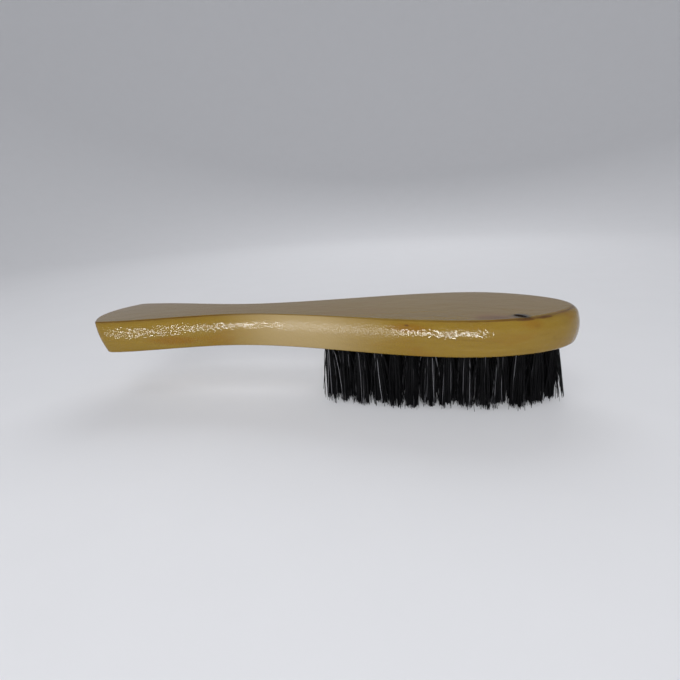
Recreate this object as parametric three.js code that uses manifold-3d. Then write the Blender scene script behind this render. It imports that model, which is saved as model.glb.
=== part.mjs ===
// Clothes brush with a one-piece wooden back and handle and black bristle tufts.
//
// The wood is one board, sawn to a fishtail handle, a narrow neck and an oval head, with its edges rounded
// by sanding. Blind holes are drilled in the underside of the head, in rows that run across it, and each
// hole holds one tuft of bristles. The bristles of neighbouring tufts mingle at their trimmed ends, so each
// row of tufts is one solid.
//
// Millimetres, +Z up. The brush stands on its bristle ends at Z = 0, centred on X and Y, with the handle
// towards -X and the head towards +X. Every piece is made with X = 0 at the end of the handle, and the
// finished brush is moved back by half its length.
import * as THREE from "three";
import { mergeVertices } from "three/addons/utils/BufferGeometryUtils.js";
import Module from "manifold-3d";

// Overall sizes
const LENGTH = 240; // of the outline, before its ends are rounded
const WOOD_THICKNESS = 16.3;
const BRISTLE_LENGTH = 27.2; // free length, from the wood to the trimmed ends

// Outline of the wood, seen from above. All X distances are from the end of the handle.
const END_RADIUS = 30; // the end of the handle is a shallow arc of this radius
const END_ARC_HALF = 18.5; // half width at which that arc runs into the rounded corner
const CORNER = { x: 7, half: 21.6 };
const GRIP = { x: 12.5, half: 21.6 }; // widest part of the handle
const NECK = { x: 80, half: 12.4 };
const HEAD = { x: 190, half: 30.2 }; // widest part of the head
const OUTLINE_STEPS = 50; // along each side

// Side view: the handle sinks a little towards its end, and its end face is undercut.
const HANDLE_DROP = { height: 1.2, from: 130 };
const END_UNDERCUT = { depth: 6, to: 35 };

// Edges of the wood: the back and the underside have crisp edges that soften towards the front of the head.
const BACK_ROUND = { handle: 0.8, front: 4.5, from: 195, to: 237 };
const UNDER_ROUND = { handle: 1, front: 4, from: 165, to: 232 };
const SIDE_CROWN = 0.6; // how far the sides swell between the two edges
const ROUND_STEPS = 3;

// Tufts
const ROW_COUNT = 14;
const ROW_PITCH = 7.75;
const FIRST_ROW_X = 126.8;
const TUFT_PITCH = 6.7; // along a row, about
const FIELD_HALF = 20; // from the centre line to the outermost tufts
const FIELD_EDGE = 5; // from the outermost tufts to the edge of a narrow stretch of the head
const FIELD_FRONT_X = 233; // where the curve through the outermost tufts meets the centre line
const HOLE_RADIUS = 2.2;
const HOLE_DEPTH = 11;
const CLEARANCE = 0.3;
const TIP_HALF_WIDTH = 3.4; // of a tuft's trimmed end, along the brush
const TIP_OVERLAP = 0.3; // how far the ends of neighbouring tufts in a row run into each other
const TUFT_SIDES = 8;

const UNDERSIDE_Z = BRISTLE_LENGTH;
const BACK_Z = BRISTLE_LENGTH + WOOD_THICKNESS;

const wasm = await Module();
wasm.setup();

const brush = new THREE.Group();

const woodMaterial = new THREE.MeshStandardMaterial({ color: 0xb58e48, roughness: 0.3, metalness: 0 });
const bristleMaterial = new THREE.MeshStandardMaterial({ color: 0x111216, roughness: 0.5, metalness: 0 });

function toSolid(geometry) {
  const bare = geometry.clone();
  bare.deleteAttribute("normal");
  bare.deleteAttribute("uv");
  const merged = mergeVertices(bare, 1e-4);
  return new wasm.Manifold(
    new wasm.Mesh({
      numProp: 3,
      vertProperties: merged.attributes.position.array,
      triVerts: new Uint32Array(merged.index.array),
    }),
  );
}

function toGeometry(solid) {
  const mesh = solid.getMesh();
  const geometry = new THREE.BufferGeometry();
  geometry.setAttribute("position", new THREE.BufferAttribute(mesh.vertProperties, 3));
  geometry.setIndex(new THREE.BufferAttribute(mesh.triVerts, 1));
  geometry.computeVertexNormals();
  return geometry;
}

// Goes smoothly from start to end as x goes from one place to another.
function ease(x, from, to, start, end) {
  return THREE.MathUtils.lerp(start, end, THREE.MathUtils.smoothstep(x, from, to));
}

// One side of the outline, from the end of the handle to the front of the head.
function sideOutline() {
  const side = new THREE.Path();
  const arcTurn = Math.asin(END_ARC_HALF / END_RADIUS);
  side.absarc(END_RADIUS, 0, END_RADIUS, Math.PI, Math.PI - arcTurn, true);
  side.quadraticCurveTo(CORNER.x, CORNER.half, GRIP.x, GRIP.half);
  for (const [a, b] of [[GRIP, NECK], [NECK, HEAD]]) {
    const third = (b.x - a.x) / 3;
    side.bezierCurveTo(a.x + third, a.half, b.x - third, b.half, b.x, b.half);
  }
  side.absellipse(HEAD.x, 0, LENGTH - HEAD.x, HEAD.half, Math.PI / 2, 0, true);
  return side.getSpacedPoints(OUTLINE_STEPS);
}

// The whole outline, anticlockwise seen from above, with each point's outward direction.
function outlineRing() {
  const left = sideOutline();
  const right = left.slice(1, -1).map((p) => new THREE.Vector2(p.x, -p.y));
  const points = [...right, ...left.reverse()];
  return points.map((p, i) => {
    const before = points.at(i - 1);
    const after = points[(i + 1) % points.length];
    const along = after.clone().sub(before).normalize();
    return { x: p.x, y: p.y, out: new THREE.Vector2(along.y, -along.x) };
  });
}

// Levels of the wood from the underside up. Each gives, at x, the height and how far the surface stands
// inside the outline.
function woodLevels() {
  const underRadius = (x) => ease(x, UNDER_ROUND.from, UNDER_ROUND.to, UNDER_ROUND.handle, UNDER_ROUND.front);
  const backRadius = (x) => ease(x, BACK_ROUND.from, BACK_ROUND.to, BACK_ROUND.handle, BACK_ROUND.front);
  const turns = [...Array(ROUND_STEPS + 1).keys()].map((i) => (Math.PI / 2) * (i / ROUND_STEPS));
  const under = turns.map((turn) => (x) => ({
    z: UNDERSIDE_Z + underRadius(x) * (1 - Math.cos(turn)),
    inset: SIDE_CROWN + underRadius(x) * (1 - Math.sin(turn)),
  }));
  const middle = () => ({ z: (UNDERSIDE_Z + BACK_Z) / 2, inset: 0 });
  const back = turns.map((turn) => (x) => ({
    z: BACK_Z - backRadius(x) * (1 - Math.sin(turn)),
    inset: SIDE_CROWN + backRadius(x) * (1 - Math.cos(turn)),
  }));
  return [...under, middle, ...back];
}

// Where a point of the straight board lies once the handle is bent down and its end is undercut.
function bend(x, y, z) {
  const drop = HANDLE_DROP.height * Math.max(0, 1 - x / HANDLE_DROP.from) ** 2;
  const depth = (BACK_Z - z) / WOOD_THICKNESS;
  const undercut = END_UNDERCUT.depth * Math.max(0, 1 - x / END_UNDERCUT.to) * depth;
  return [x + undercut, y, z - drop];
}

// Faces across a level of the board, facing up: strips between matching points of its two sides.
function crossFaces(n) {
  const faces = [];
  for (let k = 0; k < n / 2; k++) {
    const [right, nextRight, nextLeft, left] = [(k + n - 1) % n, k, n - 2 - k, n - 1 - k];
    if (left !== right) faces.push([right, nextLeft, left]);
    if (nextLeft !== nextRight) faces.push([right, nextRight, nextLeft]);
  }
  return faces;
}

function boardGeometry() {
  const ring = outlineRing();
  const levels = woodLevels();
  const n = ring.length;
  const positions = levels.flatMap((level) =>
    ring.flatMap((p) => {
      const { z, inset } = level(p.x);
      return bend(p.x - p.out.x * inset, p.y - p.out.y * inset, z);
    }),
  );
  const faces = [];
  for (let level = 0; level < levels.length - 1; level++) {
    for (let i = 0; i < n; i++) {
      const a = level * n + i;
      const b = level * n + ((i + 1) % n);
      faces.push(a, b, b + n, a, b + n, a + n);
    }
  }
  const top = (levels.length - 1) * n;
  for (const [a, b, c] of crossFaces(n)) faces.push(top + a, top + b, top + c, a, c, b);
  const geometry = new THREE.BufferGeometry();
  geometry.setAttribute("position", new THREE.Float32BufferAttribute(positions, 3));
  geometry.setIndex(faces);
  return geometry;
}

// Half width of the wood at x, between the neck and the front.
function headHalfWidth(x) {
  if (x <= HEAD.x) return ease(x, NECK.x, HEAD.x, NECK.half, HEAD.half);
  return HEAD.half * Math.sqrt(1 - ((x - HEAD.x) / (LENGTH - HEAD.x)) ** 2);
}

// Distance from the centre line to the outermost tufts of a row at x.
function fieldHalfWidth(x) {
  if (x <= HEAD.x) return Math.min(FIELD_HALF, headHalfWidth(x) - FIELD_EDGE);
  return FIELD_HALF * Math.sqrt(1 - ((x - HEAD.x) / (FIELD_FRONT_X - HEAD.x)) ** 2);
}

// The rows, each with its place along the brush, the places of its tufts across it and their spacing.
function tuftRows() {
  return [...Array(ROW_COUNT).keys()].map((row) => {
    const x = FIRST_ROW_X + row * ROW_PITCH;
    const half = fieldHalfWidth(x);
    const gaps = Math.round((2 * half) / TUFT_PITCH);
    const pitch = (2 * half) / gaps;
    const across = [...Array(gaps + 1).keys()].map((i) => -half + i * pitch);
    return { x, across, pitch };
  });
}

function holeSolid(x, y) {
  const past = 1; // the drill starts below the wood
  const hole = new THREE.CylinderGeometry(HOLE_RADIUS, HOLE_RADIUS, HOLE_DEPTH + past, TUFT_SIDES);
  hole.rotateX(Math.PI / 2);
  hole.translate(x, y, UNDERSIDE_Z + (HOLE_DEPTH - past) / 2);
  return toSolid(hole);
}

// A tuft: a round stem in its hole, then bristles that spread to an oval trimmed end.
function tuftSolid(x, y, pitch) {
  const stem = HOLE_RADIUS - CLEARANCE;
  const profile = [
    [0, 0],
    [1, 0],
    [stem, BRISTLE_LENGTH],
    [stem, BRISTLE_LENGTH + HOLE_DEPTH - CLEARANCE],
    [0, BRISTLE_LENGTH + HOLE_DEPTH - CLEARANCE],
  ];
  const tuft = new THREE.LatheGeometry(profile.map(([r, z]) => new THREE.Vector2(r, z)), TUFT_SIDES);
  tuft.rotateX(Math.PI / 2);
  const places = tuft.getAttribute("position");
  const tipHalfAcross = pitch / 2 + TIP_OVERLAP;
  for (let i = 0; i < places.count; i++) {
    if (Math.abs(places.getZ(i)) < 1e-6) {
      places.setX(i, places.getX(i) * TIP_HALF_WIDTH);
      places.setY(i, places.getY(i) * tipHalfAcross);
    }
  }
  tuft.translate(x, y, 0);
  return toSolid(tuft);
}

const rows = tuftRows();

let board = toSolid(boardGeometry());
for (const row of rows) {
  for (const y of row.across) board = board.subtract(holeSolid(row.x, y));
}
const wood = new THREE.Mesh(toGeometry(board), woodMaterial);
wood.name = "wooden_body";
brush.add(wood);

rows.forEach((row, index) => {
  const tufts = row.across.map((y) => tuftSolid(row.x, y, row.pitch));
  const joined = tufts.reduce((all, tuft) => all.add(tuft));
  const mesh = new THREE.Mesh(toGeometry(joined), bristleMaterial);
  mesh.name = `tuft_row_${String(index + 1).padStart(2, "0")}`;
  brush.add(mesh);
});

const centre = new THREE.Box3().setFromObject(brush).getCenter(new THREE.Vector3());
brush.position.x = -centre.x;

export default brush;
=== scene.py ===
# Clothes brush: a varnished one-piece wooden back and handle, with tufts of black bristle in its head.
import math
import random

import bmesh
import bpy
import numpy as np
from mathutils import Matrix, Vector
from mathutils.geometry import interpolate_bezier


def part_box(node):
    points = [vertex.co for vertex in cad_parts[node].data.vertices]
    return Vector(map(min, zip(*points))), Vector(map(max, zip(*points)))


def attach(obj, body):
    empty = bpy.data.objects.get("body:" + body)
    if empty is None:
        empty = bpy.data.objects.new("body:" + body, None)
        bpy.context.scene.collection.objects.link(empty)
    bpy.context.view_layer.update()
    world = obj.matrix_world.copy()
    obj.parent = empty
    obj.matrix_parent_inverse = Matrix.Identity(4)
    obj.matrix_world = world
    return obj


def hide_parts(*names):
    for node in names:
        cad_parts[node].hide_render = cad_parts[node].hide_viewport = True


mm = 0.001

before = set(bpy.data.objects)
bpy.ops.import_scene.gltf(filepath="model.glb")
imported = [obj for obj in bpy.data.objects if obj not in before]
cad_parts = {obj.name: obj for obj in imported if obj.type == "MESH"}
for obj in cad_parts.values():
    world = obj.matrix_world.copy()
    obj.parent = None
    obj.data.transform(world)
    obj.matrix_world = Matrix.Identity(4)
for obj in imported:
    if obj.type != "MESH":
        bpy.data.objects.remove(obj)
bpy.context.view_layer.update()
rowNodes = sorted(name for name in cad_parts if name.startswith("tuft_row_"))

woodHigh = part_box("wooden_body")[1]
backZ = woodHigh.z
print("frame loaded:", len(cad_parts), "nodes")


def newObject(name, mesh, material, slot=None):
    piece = bpy.data.objects.new(name, mesh)
    bpy.context.scene.collection.objects.link(piece)
    mesh.materials.append(material)
    if slot:
        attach(piece, "root")
    return piece


def ease(x, low, high, start, end):  # goes smoothly from start to end as x goes from low to high
    t = min(1, max(0, (x - low) / (high - low)))
    return start + (end - start) * t * t * (3 - 2 * t)


def newMaterial(name):
    material = bpy.data.materials.new(name)
    material.use_nodes = True
    tree = material.node_tree
    return material, tree, tree.nodes["Principled BSDF"]


def addNode(tree, kind, inputs=None, **settings):
    node = tree.nodes.new(kind)
    for key, value in settings.items():
        setattr(node, key, value)
    for key, value in (inputs or {}).items():
        if isinstance(value, bpy.types.NodeSocket):
            tree.links.new(value, node.inputs[key])
        else:
            node.inputs[key].default_value = value
    return node


def mathNode(tree, operation, a, b=0.0, c=0.0):
    return addNode(tree, "ShaderNodeMath", {0: a, 1: b, 2: c}, operation=operation).outputs[0]


def remap(tree, value, low, high, start=0.0, end=1.0, smooth=True):
    node = addNode(tree, "ShaderNodeMapRange", {"Value": value, "From Min": low, "From Max": high,
                                                "To Min": start, "To Max": end})
    node.interpolation_type = "SMOOTHSTEP" if smooth else "LINEAR"
    return node.outputs["Result"]


def mixColour(tree, factor, a, b):
    node = addNode(tree, "ShaderNodeMix", {"Factor": factor}, data_type="RGBA")
    for socket, value in ((node.inputs[6], a), (node.inputs[7], b)):
        if isinstance(value, bpy.types.NodeSocket):
            tree.links.new(value, socket)
        else:
            socket.default_value = (*value, 1)
    return node.outputs[2]


def noiseField(tree, scale, detail=3.0, roughness=0.55, distortion=0.0):  # scale is per metre, along X, Y, Z
    place = addNode(tree, "ShaderNodeTexCoord").outputs["Object"]
    stretched = addNode(tree, "ShaderNodeMapping", {"Vector": place, "Scale": scale}).outputs[0]
    node = addNode(tree, "ShaderNodeTexNoise", {"Vector": stretched, "Scale": 1.0, "Detail": detail,
                                                "Roughness": roughness, "Distortion": distortion})
    return node.outputs["Fac"]


varnishedWood = {
    "light": (0.225, 0.150, 0.028), "middle": (0.186, 0.1155, 0.014), "dark": (0.132, 0.073, 0.006),
    "blotch": (0.175, 0.080, 0.005), "stain": (0.078, 0.033, 0.008), "knot": (0.006, 0.003, 0.002),
    "ringSpacing": 2.6 * mm, "ringWaver": 14 * mm, "pith": (-30 * mm, -45 * mm), "ringStrength": 0.05,
    "fibres": (45, 1300, 1300), "fibreStrength": 0.08, "streaks": (12, 210, 210), "streakStrength": 0.16,
    "blotches": (30, 80, 80), "blotchStrength": 0.60, "waver": (9, 30, 30),
    "ragged": (230, 420, 420), "soft": (60, 160, 160), "rolling": (90, 160, 160),  # noise, per metre
    "gloss": 0.35, "shine": 0.07, "dullness": 0.26, "dullZone": (92 * mm, 170 * mm, 20 * mm),
    # painted sheen: a pale colour mixed into the sides at the neck, standing in for a dim broad reflection,
    # with its strength and zone
    "paintedSheen": (0.32, 0.240, 0.115), "sheenStrength": 0.75, "sheenZone": (64 * mm, 160 * mm, 42 * mm),  # paler at the neck
    "peelSize": 0.85 * mm, "peel": 2.6, "peelOnBack": 0.2, "peelFades": (35 * mm, 80 * mm, 1.0, 0.38),
    "waves": 1.2, "bump": 0.10,
    # marks, in mm: distance from the handle's end, across, below the back, half sizes, then strength
    "eye": (210.3, -22.3, 0.2, 5.2, 4.4, 1.2, 1.0),
    "stains": ((200.5, -24.6, 0.3, 13.0, 4.6, 0.8, 0.65), (212.5, -25.7, 0.7, 9.5, 2.6, 0.6, 0.95),
               (221.0, -22.0, 0.7, 9.5, 3.0, 0.6, 0.95),
               (163.5, -27.3, 2.3, 1.5, 1.5, 0.6, 0.75), (215.5, -24.0, 3.6, 3.2, 2.0, 1.6, 0.35)),
    "glows": ((199.0, -23.0, 0.2, 13.0, 6.0, 1.2, 1.00), (165.0, -27.5, 3.5, 13.0, 4.0, 2.6, 0.70),
              (50.0, -17.0, 12.0, 20.0, 6.0, 3.4, 0.70), (212.0, -24.5, 3.0, 9.0, 4.0, 3.0, 0.55)),
}


def markField(tree, place, ragged, mark):  # 1 inside the mark, fading to 0 at its ragged edge
    centre = (outlineX + mark[0] * mm, mark[1] * mm, backZ - mark[2] * mm)
    offset = addNode(tree, "ShaderNodeVectorMath", {0: place, 1: centre}, operation="SUBTRACT").outputs[0]
    shrink = [1 / (size * mm) for size in mark[3:6]]
    scaled = addNode(tree, "ShaderNodeVectorMath", {0: offset, 1: shrink}, operation="MULTIPLY").outputs[0]
    distance = addNode(tree, "ShaderNodeVectorMath", {0: scaled}, operation="LENGTH").outputs["Value"]
    distance = mathNode(tree, "MULTIPLY_ADD", ragged, 0.8, mathNode(tree, "SUBTRACT", distance, 0.4))
    return remap(tree, distance, 0.35, 1.0, mark[6], 0.0)


def zone(tree, x, start, end, fade):  # 1 between start and end, fading to 0 within them
    rise = remap(tree, x, start, start + fade)
    return mathNode(tree, "MULTIPLY", rise, remap(tree, x, end - fade, end, 1.0, 0.0))


def woodMaterial(look):
    material, tree, shader = newMaterial("varnishedWood")
    place = addNode(tree, "ShaderNodeTexCoord").outputs["Object"]
    split = addNode(tree, "ShaderNodeSeparateXYZ", {"Vector": place}).outputs

    # growth rings round a pith that runs along the board, below it
    waver = noiseField(tree, look["waver"], 2.0)
    dy = mathNode(tree, "SUBTRACT", split["Y"], look["pith"][0])
    dz = mathNode(tree, "SUBTRACT", split["Z"], look["pith"][1])
    squares = mathNode(tree, "ADD", mathNode(tree, "MULTIPLY", dy, dy), mathNode(tree, "MULTIPLY", dz, dz))
    radius = mathNode(tree, "MULTIPLY_ADD", waver, look["ringWaver"], mathNode(tree, "SQRT", squares))
    rings = mathNode(tree, "SINE", mathNode(tree, "MULTIPLY", radius, 2 * math.pi / look["ringSpacing"]))

    fibres = noiseField(tree, look["fibres"], 4.0, 0.6)
    streaks = noiseField(tree, look["streaks"], 3.0, 0.6)
    blotches = noiseField(tree, look["blotches"], 3.0, 0.55, 0.6)
    tone = mathNode(tree, "MULTIPLY_ADD", rings, look["ringStrength"], 0.5)
    for field, strength in ((fibres, look["fibreStrength"]), (streaks, look["streakStrength"])):
        tone = mathNode(tree, "ADD", tone, remap(tree, field, 0.3, 0.7, -strength, strength, False))
    colour = mixColour(tree, remap(tree, tone, 0.0, 0.5), look["dark"], look["middle"])
    colour = mixColour(tree, remap(tree, tone, 0.5, 1.0), colour, look["light"])
    blotched = remap(tree, blotches, 0.52, 0.78, 0.0, look["blotchStrength"])
    colour = mixColour(tree, blotched, colour, look["blotch"])

    # warm patches, brown stains, a darker band along the edges of the back, and the eye of a knot
    ragged = noiseField(tree, look["ragged"], 3.0)
    soft = noiseField(tree, look["soft"], 2.0)
    for mark in look["glows"]:
        colour = mixColour(tree, markField(tree, place, soft, mark), colour, look["blotch"])
    for mark in look["stains"]:
        colour = mixColour(tree, markField(tree, place, ragged, mark), colour, look["stain"])
    edge = addNode(tree, "ShaderNodeAttribute", attribute_name="edge").outputs["Fac"]
    edge = mathNode(tree, "MULTIPLY", edge, remap(tree, ragged, 0.35, 0.6, 0.8, 1.0))
    colour = mixColour(tree, edge, colour, look["stain"])
    colour = mixColour(tree, markField(tree, place, ragged, look["eye"]), colour, look["knot"])

    # glossy varnish, smooth on the back; its sides have a fine orange peel and are rubbed dull at the neck,
    # where their colour is also paled by a painted sheen
    normal = addNode(tree, "ShaderNodeNewGeometry").outputs["Normal"]
    upward = addNode(tree, "ShaderNodeSeparateXYZ", {"Vector": normal}).outputs["Z"]
    sides = remap(tree, mathNode(tree, "ABSOLUTE", upward), 0.5, 0.95, 1.0, 0.0)
    fromHandle = mathNode(tree, "SUBTRACT", split["X"], outlineX)
    # painted sheen: the sides' colour is mixed towards a pale tone at the neck, standing in for a dim broad
    # reflection there
    paintedSheen = mathNode(tree, "MULTIPLY", sides, zone(tree, fromHandle, *look["sheenZone"]))
    colour = mixColour(tree, mathNode(tree, "MULTIPLY", paintedSheen, look["sheenStrength"]), colour, look["paintedSheen"])
    tree.links.new(colour, shader.inputs["Base Color"])
    dull = mathNode(tree, "MULTIPLY", sides, zone(tree, fromHandle, *look["dullZone"]))
    dull = mathNode(tree, "MULTIPLY", dull, look["dullness"] - look["shine"])
    shine = remap(tree, soft, 0.3, 0.7, look["shine"] * 0.8, look["shine"] * 1.2)
    tree.links.new(mathNode(tree, "ADD", dull, shine), shader.inputs["Roughness"])
    shader.inputs["Specular IOR Level"].default_value = look["gloss"]

    peel = noiseField(tree, (1 / look["peelSize"],) * 3, 0.5, 0.5)
    strength = remap(tree, sides, 0.0, 1.0, look["peel"] * look["peelOnBack"], look["peel"], False)
    peel = mathNode(tree, "MULTIPLY", peel, strength)
    peel = mathNode(tree, "MULTIPLY", peel, remap(tree, fromHandle, *look["peelFades"]))
    waves = noiseField(tree, look["rolling"], 2.0, 0.5)
    height = mathNode(tree, "MULTIPLY_ADD", waves, look["waves"], peel)
    bump = addNode(tree, "ShaderNodeBump", {"Height": height, "Strength": look["bump"], "Distance": 1 * mm})
    tree.links.new(bump.outputs[0], shader.inputs["Normal"])
    return material


blackBristle = {
    # the pale colour is a painted highlight: bristles given it stand in for single strands catching the light
    # along their length
    "dark": (0.0006, 0.0006, 0.0009), "paintedGlint": (0.190, 0.190, 0.205),
    "roughness": 0.45, "gloss": 0.07, "mottle": 0.10,
}


def bristleMaterial(look):
    material, tree, shader = newMaterial("blackBristle")
    tone = addNode(tree, "ShaderNodeAttribute", attribute_name="tone").outputs["Fac"]
    patches = noiseField(tree, (700, 700, 90), 2.0)
    shade = mathNode(tree, "MULTIPLY_ADD", patches, look["mottle"], tone)
    colour = mixColour(tree, remap(tree, shade, 0.05, 1.05, 0.0, 1.0, False), look["dark"], look["paintedGlint"])
    tree.links.new(colour, shader.inputs["Base Color"])
    tree.links.new(remap(tree, patches, 0.3, 0.7, look["roughness"] - 0.08, look["roughness"] + 0.08),
                   shader.inputs["Roughness"])
    shader.inputs["Specular IOR Level"].default_value = look["gloss"]
    return material


drawnWire = {"colour": (0.55, 0.55, 0.57), "roughness": 0.32, "scuffed": 0.15}


def wireMaterial(look):
    material, tree, shader = newMaterial("drawnWire")
    scratches = noiseField(tree, (2500, 250, 2500), 3.0)
    colour = mixColour(tree, scratches, [c * 0.7 for c in look["colour"]], look["colour"])
    tree.links.new(colour, shader.inputs["Base Color"])
    tree.links.new(remap(tree, scratches, 0.3, 0.7, look["roughness"], look["roughness"] + look["scuffed"]),
                   shader.inputs["Roughness"])
    shader.inputs["Metallic"].default_value = 1.0
    return material


body = {
    "length": 240 * mm, "thickness": 16.3 * mm,
    "endRadius": 30 * mm, "endArcHalf": 18.5 * mm,  # shallow arc across the end of the handle
    "corner": (7 * mm, 21.6 * mm), "grip": (12.5 * mm, 21.6 * mm),
    "neck": (80 * mm, 12.4 * mm), "head": (190 * mm, 30.2 * mm),
    "drop": 1.2 * mm, "dropFrom": 130 * mm,  # the handle sinks towards its end
    "undercut": 6 * mm, "undercutTo": 50 * mm,  # and its end face slopes in
    "backRound": (0.9 * mm, 4.5 * mm, 195 * mm, 237 * mm),
    "underRound": (1.0 * mm, 2.2 * mm, 165 * mm, 232 * mm),
    "crown": 0.8 * mm,
    "curveSteps": 200, "sideSteps": 180, "roundSteps": 7, "wallSteps": 8, "rim": 0.35 * mm,
}
underZ = backZ - body["thickness"]
outlineX = woodHigh.x - body["length"]  # where the outline's distances are measured from


def arcHandle(radius, angle):
    return 4 / 3 * math.tan(angle / 4) * radius


def sideOutline(shape):  # one side, from the middle of the handle's end to the front of the head
    endAngle = math.asin(shape["endArcHalf"] / shape["endRadius"])
    reach = arcHandle(shape["endRadius"], endAngle)
    start = Vector((0, 0))
    arcEnd = Vector((shape["endRadius"] * (1 - math.cos(endAngle)), shape["endArcHalf"]))
    corner, grip, neck, head = (Vector(shape[k]) for k in ("corner", "grip", "neck", "head"))
    front = Vector((shape["length"], 0))
    quarter = arcHandle(1, math.pi / 2)
    arcSlope = Vector((math.sin(endAngle), math.cos(endAngle)))
    toFront = Vector(((front.x - head.x) * quarter, 0))
    curves = [
        (start, Vector((0, reach)), arcEnd - reach * arcSlope, arcEnd),
        (arcEnd, arcEnd.lerp(corner, 2 / 3), grip.lerp(corner, 2 / 3), grip),
        (head, head + toFront, front + Vector((0, head.y * quarter)), front),
    ]
    for a, b in ((grip, neck), (neck, head)):
        third = Vector(((b.x - a.x) / 3, 0))
        curves.insert(-1, (a, a + third, b - third, b))
    points = []
    for knot, handle, nextHandle, nextKnot in curves:
        points += interpolate_bezier(knot, handle, nextHandle, nextKnot, shape["curveSteps"])[:-1]
    return evenlySpaced(points + [front], shape["sideSteps"])


def evenlySpaced(points, steps):
    along = np.array([(p.x, p.y) for p in points])
    travel = np.concatenate([[0], np.cumsum(np.linalg.norm(np.diff(along, axis=0), axis=1))])
    wanted = np.linspace(0, travel[-1], steps + 1)
    return [Vector((x, y)) for x, y in zip(np.interp(wanted, travel, along[:, 0]),
                                           np.interp(wanted, travel, along[:, 1]))]


def handleDrop(shape, x):
    return shape["drop"] * max(0, 1 - x / shape["dropFrom"]) ** 2


def bodyPlace(shape, x, y, z):  # from the straight board to the finished one, in the frame
    drop = handleDrop(shape, x)
    undercut = shape["undercut"] * max(0, 1 - x / shape["undercutTo"]) ** 2
    undercut *= (backZ - z) / shape["thickness"]
    return Vector((outlineX + x + undercut, y, z - drop))


def bodyLevels(shape):  # each gives (height, inset) at x, from the underside up
    slope = math.atan(4 * shape["crown"] / shape["thickness"])  # of the crowned side, where a round starts
    steps = shape["roundSteps"]
    turns = [slope + (math.pi / 2 - slope) * i / steps for i in range(steps + 1)]

    def roundLevel(key, turn, sign, edgeZ):
        def level(x):
            radius = ease(x, shape[key][2], shape[key][3], shape[key][0], shape[key][1])
            inset = shape["crown"] + radius * (math.cos(slope) - math.cos(turn))
            return edgeZ - sign * radius * (1 - math.sin(turn)), inset
        return level

    def wallLevel(u):
        def level(x):
            low = roundLevel("underRound", slope, -1, underZ)(x)[0]
            high = roundLevel("backRound", slope, 1, backZ)(x)[0]
            return low + (high - low) * u, shape["crown"] * (2 * u - 1) ** 2
        return level

    def rimLevel(key, sign, edgeZ):
        def level(x):
            z, inset = roundLevel(key, math.pi / 2, sign, edgeZ)(x)
            return z, inset + shape["rim"]
        return level

    under = [roundLevel("underRound", turn, -1, underZ) for turn in reversed(turns)]
    wall = [wallLevel(i / shape["wallSteps"]) for i in range(1, shape["wallSteps"])]
    back = [roundLevel("backRound", turn, 1, backZ) for turn in turns]
    return [rimLevel("underRound", -1, underZ), *under, *wall, *back, rimLevel("backRound", 1, backZ)]


def fillAcross(bm, ring):  # strips between the two sides of a ring, and a triangle at each end
    half = len(ring) // 2
    right, left = ring[:half - 1], ring[half:-1]
    chains = [bm.edges.get((a, b)) for side in (right, left) for a, b in zip(side, side[1:])]
    bmesh.ops.bridge_loops(bm, edges=chains)
    ends = [(ring[-1], ring[0], ring[-2]), (ring[half - 1], ring[half], ring[half - 2])]
    for corners in ends:
        bmesh.ops.contextual_create(bm, geom=list(corners))


def raisedVert(vert, newVerts):  # the vertex that was extruded from this one
    return next(e.other_vert(vert) for e in vert.link_edges if e.other_vert(vert) in newVerts)


def makeBoard(shape):
    side = sideOutline(shape)
    points = [Vector((p.x, -p.y)) for p in side[1:-1]] + list(reversed(side))
    outward = []
    for i, p in enumerate(points):
        along = (points[(i + 1) % len(points)] - points[i - 1]).normalized()
        outward.append(Vector((along.y, -along.x)))

    bm = bmesh.new()
    ring = bmesh.ops.create_circle(bm, segments=len(points), radius=1)["verts"]
    levels = bodyLevels(shape)
    rings = []
    for index, level in enumerate(levels):
        if index:
            edges = [bm.edges.get((ring[i - 1], ring[i])) for i in range(len(ring))]
            made = bmesh.ops.extrude_edge_only(bm, edges=edges)["geom"]
            newVerts = set(g for g in made if isinstance(g, bmesh.types.BMVert))
            ring = [raisedVert(vert, newVerts) for vert in ring]
        rings.append(ring)
        for vert, p, out in zip(ring, points, outward):
            z, inset = level(p.x)
            vert.co = bodyPlace(shape, p.x - out.x * inset, p.y - out.y * inset, z)
    for ring in (rings[0], rings[-1]):
        fillAcross(bm, ring)
    bmesh.ops.recalc_face_normals(bm, faces=bm.faces)
    return bm


tufts = {
    "firstRow": 126.8 * mm, "rowPitch": 7.75 * mm, "pitch": 6.7 * mm,
    "fieldHalf": 20 * mm, "fieldEdge": 5 * mm, "fieldFront": 233 * mm,
    "holeRadius": 2.2 * mm, "holeDepth": 11 * mm, "holeSides": 20,
}


def headHalfWidth(x):
    neck, head = body["neck"], body["head"]
    return ease(x, neck[0], head[0], neck[1], head[1])


def tuftRows(layout):  # for each row, its place along the brush and the places of its tufts across it
    rows = []
    headX = body["head"][0]
    for row in range(len(rowNodes)):
        x = layout["firstRow"] + row * layout["rowPitch"]
        half = min(layout["fieldHalf"], headHalfWidth(x) - layout["fieldEdge"])
        if x > headX:
            half = layout["fieldHalf"] * math.sqrt(1 - ((x - headX) / (layout["fieldFront"] - headX)) ** 2)
        gaps = round(2 * half / layout["pitch"])
        rows.append((outlineX + x, [-half + 2 * half * i / gaps for i in range(gaps + 1)]))
    return rows


rows = tuftRows(tufts)


openKnot = {
    "along": 210.3 * mm, "across": -22.4 * mm, "above": 0.1 * mm,
    "size": (3.3 * mm, 1.7 * mm, 0.9 * mm), "turn": -0.85,
}


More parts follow.
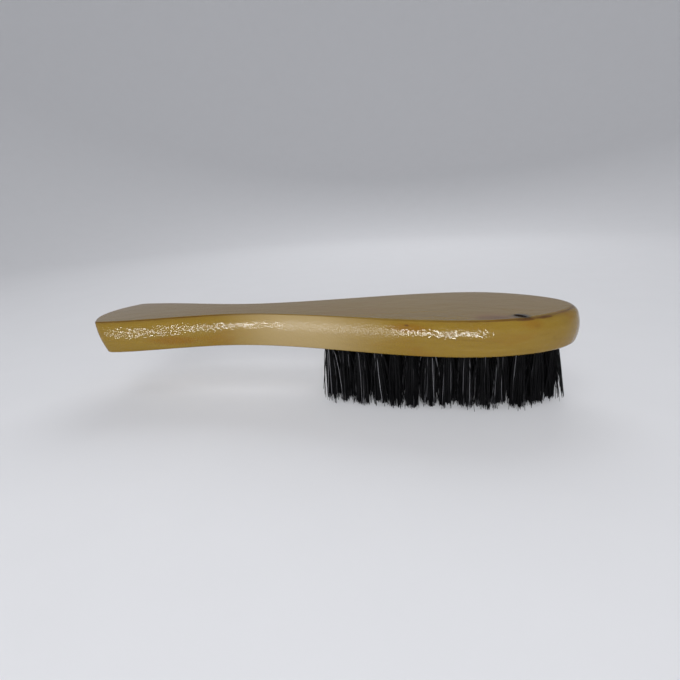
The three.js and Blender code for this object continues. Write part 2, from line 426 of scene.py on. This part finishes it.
def drillHoles(piece):  # a blind hole for each tuft, and the shallow pit of the open knot
    bm = bmesh.new()
    past = 1 * mm  # how far each drill starts below the wood
    for x, across in rows:
        for y in across:
            centre = Vector((x, y, underZ + (tufts["holeDepth"] - past) / 2))
            bmesh.ops.create_cone(bm, cap_ends=True, segments=tufts["holeSides"], radius1=tufts["holeRadius"],
                                  radius2=tufts["holeRadius"], depth=tufts["holeDepth"] + past,
                                  matrix=Matrix.Translation(centre))
    pit = bmesh.ops.create_icosphere(bm, subdivisions=3, radius=1)["verts"]
    bmesh.ops.scale(bm, vec=openKnot["size"], verts=pit)
    bmesh.ops.rotate(bm, matrix=Matrix.Rotation(openKnot["turn"], 3, "Z"), verts=pit)
    pitPlace = (outlineX + openKnot["along"], openKnot["across"], backZ + openKnot["above"])
    bmesh.ops.translate(bm, vec=pitPlace, verts=pit)
    mesh = bpy.data.meshes.new("drills")
    bm.to_mesh(mesh)
    bm.free()
    drills = bpy.data.objects.new("drills", mesh)
    bpy.context.scene.collection.objects.link(drills)
    cut = piece.modifiers.new("holes", "BOOLEAN")
    cut.operation, cut.solver, cut.object = "DIFFERENCE", "EXACT", drills
    cutMesh = bpy.data.meshes.new_from_object(piece.evaluated_get(bpy.context.evaluated_depsgraph_get()))
    piece.modifiers.clear()
    piece.data = cutMesh
    bpy.data.objects.remove(drills)


def smoothExceptCreases(mesh, crease=math.radians(32)):
    bm = bmesh.new()
    bm.from_mesh(mesh)
    for face in bm.faces:
        face.smooth = True
    for edge in bm.edges:
        edge.smooth = len(edge.link_faces) == 2 and edge.calc_face_angle() < crease
    bm.to_mesh(mesh)
    bm.free()


darkEdge = {
    "depth": 0.4 * mm, "reach": 0.28 * mm,
    "fades": ((80 * mm, 150 * mm, 0.95, 0.40), (165 * mm, 195 * mm, 0, 0.45)),
}


def paintEdge(mesh, look):  # how dark the colour is along the edge of the back, darkest at the handle
    values = []
    for vert in mesh.vertices:
        x = vert.co.x - outlineX
        depth = backZ - handleDrop(body, x) - vert.co.z
        strength = ease(x, *look["fades"][0]) + ease(x, *look["fades"][1])
        values.append(strength * math.exp(-((depth - look["depth"]) / look["reach"]) ** 2))
    mesh.attributes.new("edge", "FLOAT", "POINT").data.foreach_set("value", values)


def makeWood():
    bm = makeBoard(body)
    mesh = bpy.data.meshes.new("varnished_wood_body")
    bm.to_mesh(mesh)
    bm.free()
    piece = newObject("varnished_wood_body", mesh, woodMaterial(varnishedWood), "varnished_wood")
    drillHoles(piece)
    smoothExceptCreases(piece.data)
    paintEdge(piece.data, darkEdge)
    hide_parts("wooden_body")
    return piece


wood = makeWood()
print("wood:", len(wood.data.polygons), "faces")

strand = {
    "steps": (0.0, 0.12, 0.40, 0.70, 1.0),  # from the mouth of the hole to the tip
    "pairs": 82, "pack": 0.92, "splay": (1.80, 1.75),
    "radius": 0.17 * mm, "thickness": (0.85, 1.15), "taper": 0.7,  # thickness and taper are times the radius
    "foldDepth": 9.9 * mm, "foldGap": 0.55 * mm, "foldDrop": 0.6 * mm,
    "foldDome": 0.2, "foldWidth": 0.1, "legWidth": 0.8,  # times a bristle's distance from its tuft's middle
    "locks": (3, 5), "lockReach": (0.45, 0.75), "gather": 0.42, "lean": (0.60 * mm, 0.40 * mm),
    "bow": 0.30 * mm, "fan": 0.85, "strayFan": 0.45,  # a lower power spreads them closer to the wood
    "stray": 0.22, "glintStray": 0.66, "strayReach": 2.0 * mm, "reach": 0.30 * mm, "frontStray": 2.6 * mm,
    "trim": 0.8 * mm, "tuftTrim": 0.55 * mm, "lockTrim": 1.00 * mm, "ownTrim": 0.35 * mm,
    "long": 0.04, "short": 0.08, "shortBy": (1 * mm, 5 * mm), "lowest": 0.2 * mm,
    # a share of the bristles gets the painted highlight colour; these are thinner, stray more often and have
    # their own tones
    "paintedGlint": 0.060, "darkTones": (0.0, 0.030), "glintTones": (0.30, 0.90), "glintThickness": 0.44,
    "endLeans": {1: 1.5 * mm, 2: 0.6 * mm, 13: -0.3 * mm, 14: -0.8 * mm},  # the end rows lean in
}


def discPlace(index, count, rng):  # spreads count places evenly over a disc of radius 1
    r = math.sqrt((index + 0.5) / count)
    a = index * math.pi * (3 - math.sqrt(5)) + rng.uniform(-0.2, 0.2)
    return Vector((r * math.cos(a), r * math.sin(a)))


def makeStrands(name, row, x, across, rng):
    curve = bpy.data.curves.new(name, "CURVE")
    curve.dimensions = "3D"
    curve.bevel_depth = strand["radius"]
    curve.bevel_resolution = 0
    curve.use_fill_caps = True
    tones = []
    for y in across:
        addTuft(curve, tones, row, Vector((x, y)), rng)
    holder = bpy.data.objects.new(name + "_curve", curve)
    bpy.context.scene.collection.objects.link(holder)
    mesh = bpy.data.meshes.new_from_object(holder.evaluated_get(bpy.context.evaluated_depsgraph_get()))
    bpy.data.objects.remove(holder)
    mesh.materials.clear()
    mesh.shade_smooth()
    paintTones(mesh, tones)
    return mesh


def tuftLocks(radius, rng):  # the place of each lock that the bristles gather into, and how short it is cut
    count = rng.randint(*strand["locks"])
    turn = rng.uniform(0, 2 * math.pi)
    locks = []
    for i in range(count):
        angle = turn + 2 * math.pi * i / count
        reach = radius * rng.uniform(*strand["lockReach"])
        place = Vector((math.cos(angle), math.sin(angle))) * reach
        locks.append((place, abs(rng.gauss(0, strand["lockTrim"]))))
    return locks


def endHeight(lock, tuftTrim, rng):  # of one bristle's tip above the rest face
    height = strand["trim"] + tuftTrim + lock[1] + rng.gauss(0, strand["ownTrim"])
    pick = rng.random()
    if pick < strand["long"]:
        height = rng.uniform(0, strand["trim"])
    elif pick < strand["long"] + strand["short"]:
        height += rng.uniform(*strand["shortBy"])
    return max(strand["lowest"], height)


def scatter(size, rng):
    along, across = size if isinstance(size, tuple) else (size, size)
    return Vector((rng.gauss(0, along), rng.gauss(0, across)))


def addTuft(curve, tones, row, centre, rng):
    mouthRadius = tufts["holeRadius"] * strand["pack"]
    lean = scatter(strand["lean"], rng) + Vector((strand["endLeans"].get(row, 0), 0))
    tuftTrim = rng.gauss(0, strand["tuftTrim"])
    locks = tuftLocks(mouthRadius * strand["splay"][0], rng)
    for i in range(strand["pairs"]):
        spot = discPlace(i, strand["pairs"], rng) * mouthRadius
        # painted highlight: some bristles are picked for a pale colour, standing in for light caught along a
        # single strand
        paintedGlint = rng.random() < strand["paintedGlint"]
        foldZ = underZ + strand["foldDepth"] + spot.length * strand["foldDome"]
        legs = []
        for turn in (1, -1):  # a bristle is folded over its anchor, so it has two legs
            mouth = Vector((abs(spot.x), spot.y)) * turn
            splayed = Vector((mouth.x * strand["splay"][0], mouth.y * strand["splay"][1]))
            lock = min(locks, key=lambda each: (each[0] - splayed).length)
            stray = rng.random() < strand["glintStray" if paintedGlint else "stray"]
            tip = splayed.lerp(lock[0], 0 if stray else strand["gather"]) + lean
            tip += scatter(strand["strayReach"] if stray else strand["reach"], rng)
            if stray and row == len(rowNodes):
                tip.x += strand["frontStray"]
            bow = scatter(strand["bow"], rng)
            endZ = endHeight(lock, tuftTrim, rng)
            legY = centre.y + mouth.y * strand["legWidth"]
            leg = [Vector((centre.x + turn * strand["foldGap"], legY, foldZ - strand["foldDrop"]))]
            fan = strand["strayFan" if stray and row < len(rowNodes) else "fan"]
            for t in strand["steps"]:
                spread = t ** fan
                side = centre + mouth.lerp(tip, spread) + bow * (4 * t * (1 - t))
                leg.append(Vector((side.x, side.y, underZ + (endZ - underZ) * t)))
            legs.append(leg)
        fold = Vector((centre.x, centre.y + spot.y * strand["foldWidth"], foldZ))
        thickness = rng.uniform(*strand["thickness"]) * (strand["glintThickness"] if paintedGlint else 1)
        addStrand(curve, list(reversed(legs[0])) + [fold] + legs[1], thickness)
        tones.append(rng.uniform(*strand["glintTones" if paintedGlint else "darkTones"]))


def addStrand(curve, route, thickness):
    spline = curve.splines.new("POLY")
    spline.points.add(len(route) - 1)
    for point, place in zip(spline.points, route):
        point.co = (*place, 1)
        point.radius = thickness
    spline.points[0].radius = spline.points[-1].radius = thickness * strand["taper"]


def paintTones(mesh, tones):
    attribute = mesh.attributes.new("tone", "FLOAT", "POINT")
    perStrand = len(mesh.vertices) // len(tones)
    values = np.repeat(tones, perStrand)
    attribute.data.foreach_set("value", values.astype(np.float32))


anchor = {"length": 4.7 * mm, "width": 1.7 * mm, "height": 0.45 * mm, "depth": 9.2 * mm, "bevel": 0.08 * mm}


def makeAnchors(name, x, across, material):
    bm = bmesh.new()
    for y in across:
        made = bmesh.ops.create_cube(bm, size=1)["verts"]
        bmesh.ops.scale(bm, vec=(anchor["height"], anchor["length"], anchor["width"]), verts=made)
        bmesh.ops.translate(bm, vec=(x, y, underZ + anchor["depth"]), verts=made)
    bmesh.ops.bevel(bm, geom=list(bm.edges), offset=anchor["bevel"], offset_type="OFFSET", segments=2,
                    affect="EDGES", profile=0.5, material=-1)
    mesh = bpy.data.meshes.new(name)
    bm.to_mesh(mesh)
    bm.free()
    return newObject(name, mesh, material, "anchor_wire")


bristle = bristleMaterial(blackBristle)
wire = wireMaterial(drawnWire)
rng = random.Random(11)
strandFaces = 0
for number, (node, (x, across)) in enumerate(zip(rowNodes, rows), 1):
    mesh = makeStrands(f"bristles_row_{number:02d}", number, x, across, rng)
    piece = newObject(f"bristles_row_{number:02d}", mesh, bristle, "black_bristle")
    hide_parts(node)
    strandFaces += len(mesh.polygons)
    makeAnchors(f"anchors_row_{number:02d}", x, across, wire)
print("tufts:", sum(len(across) for _, across in rows), "with", strandFaces, "faces")


stage = {"radius": 0.9, "rise": 0.9, "wall": 2.6, "colour": (0.585, 0.590, 0.612), "glow": 0.23,
         "roughness": 0.9, "gloss": 0.0, "flatSteps": 6, "steps": 24, "sides": 96, "below": 0.3 * mm}


def makeStage(look):
    bm = bmesh.new()
    radius, rise, steps = look["radius"], look["rise"], look["steps"]
    flat = look["flatSteps"]
    profile = [Vector((radius * i / flat, 0, 0)) for i in range(flat + 1)]
    for i in range(1, steps + 1):
        turn = math.pi / 2 * i / steps
        profile.append(Vector((radius + rise * math.sin(turn), 0, rise * (1 - math.cos(turn)))))
    profile.append(profile[-1] + Vector((0, 0, look["wall"] - rise)))
    verts = [bm.verts.new(p) for p in profile]
    edges = [bm.edges.new(pair) for pair in zip(verts, verts[1:])]
    bmesh.ops.spin(bm, geom=verts + edges, cent=(0, 0, 0), axis=(0, 0, 1), angle=2 * math.pi,
                   steps=look["sides"], use_merge=True)
    bmesh.ops.remove_doubles(bm, verts=bm.verts, dist=0.1 * mm)
    bmesh.ops.translate(bm, vec=(0, 0, -look["below"]), verts=bm.verts)
    for face in bm.faces:
        face.smooth = True
    mesh = bpy.data.meshes.new("floor")
    bm.to_mesh(mesh)
    bm.free()
    material, tree, shader = newMaterial("paleFloor")
    mottle = noiseField(tree, (30, 30, 30), 3.0)
    colour = mixColour(tree, mottle, [c * 0.97 for c in look["colour"]], look["colour"])
    tree.links.new(colour, shader.inputs["Base Color"])
    shader.inputs["Roughness"].default_value = look["roughness"]
    shader.inputs["Specular IOR Level"].default_value = look["gloss"]
    tree.links.new(colour, shader.inputs["Emission Color"])
    shader.inputs["Emission Strength"].default_value = look["glow"]
    floor = newObject("floor", mesh, material)


makeStage(stage)

camera = {
    "place": (169.3 * mm, -209.1 * mm, 49.3 * mm),  # from the handle's end, the centre line and the back
    "down": math.radians(17.39), "left": math.radians(10.82), "roll": math.radians(-3.43),
    "lens": 23.29, "sensor": 36, "nearest": 5 * mm,
}


def makeCamera(look):
    data = bpy.data.cameras.new("camera")
    data.lens = look["lens"]
    data.sensor_width = look["sensor"]
    data.clip_start = look["nearest"]
    eye = bpy.data.objects.new("camera", data)
    bpy.context.scene.collection.objects.link(eye)
    turn = Matrix.Rotation(look["left"], 4, "Z") @ Matrix.Rotation(math.pi / 2 - look["down"], 4, "X")
    turn = turn @ Matrix.Rotation(look["roll"], 4, "Z")
    place = Vector(look["place"]) + Vector((outlineX, 0, backZ))
    eye.matrix_world = Matrix.Translation(place) @ turn
    bpy.context.scene.camera = eye


makeCamera(camera)

lights = [  # name, place, aimed at, width, height, watts, spread, and if it lights surfaces or only shines
    ("key", (0.06, -0.88, 0.330), (0.0, 0.0, 0.03), 0.50, 0.30, 3.7, 120, "light"),
    ("rear", (0.05, 0.80, 0.750), (0.0, 0.10, 0.03), 0.90, 0.60, 4.2, 180, "light"),
    ("fill", (-0.10, -0.45, 0.95), (0.0, 0.0, 0.03), 0.50, 0.50, 1.6, 180, "light"),
    ("strip", (-0.058, -0.20, 0.012), (-0.058, 0.0, 0.039), 0.375, 0.004, 0.30, 180, "shine"),
]
air = {"colour": (0.86, 0.88, 0.92), "strength": 0.20}


def makeLights():
    for name, place, target, width, height, watts, spread, kind in lights:
        data = bpy.data.lights.new(name, "AREA")
        data.shape = "RECTANGLE"
        data.size, data.size_y, data.energy = width, height, watts
        data.spread = math.radians(spread)
        lamp = bpy.data.objects.new(name, data)
        bpy.context.scene.collection.objects.link(lamp)
        lamp.visible_camera = False
        lamp.visible_diffuse = kind == "light"
        lamp.visible_glossy = kind == "shine"
        aim = Vector(target) - Vector(place)
        lamp.matrix_world = Matrix.Translation(place) @ aim.to_track_quat("-Z", "Y").to_matrix().to_4x4()
    world = bpy.data.worlds.new("studio")
    world.use_nodes = True
    background = world.node_tree.nodes["Background"].inputs
    background["Color"].default_value = (*air["colour"], 1)
    background["Strength"].default_value = air["strength"]
    bpy.context.scene.world = world


makeLights()
bpy.context.scene.view_settings.view_transform = "Standard"
print("stage, camera and lights are in place")
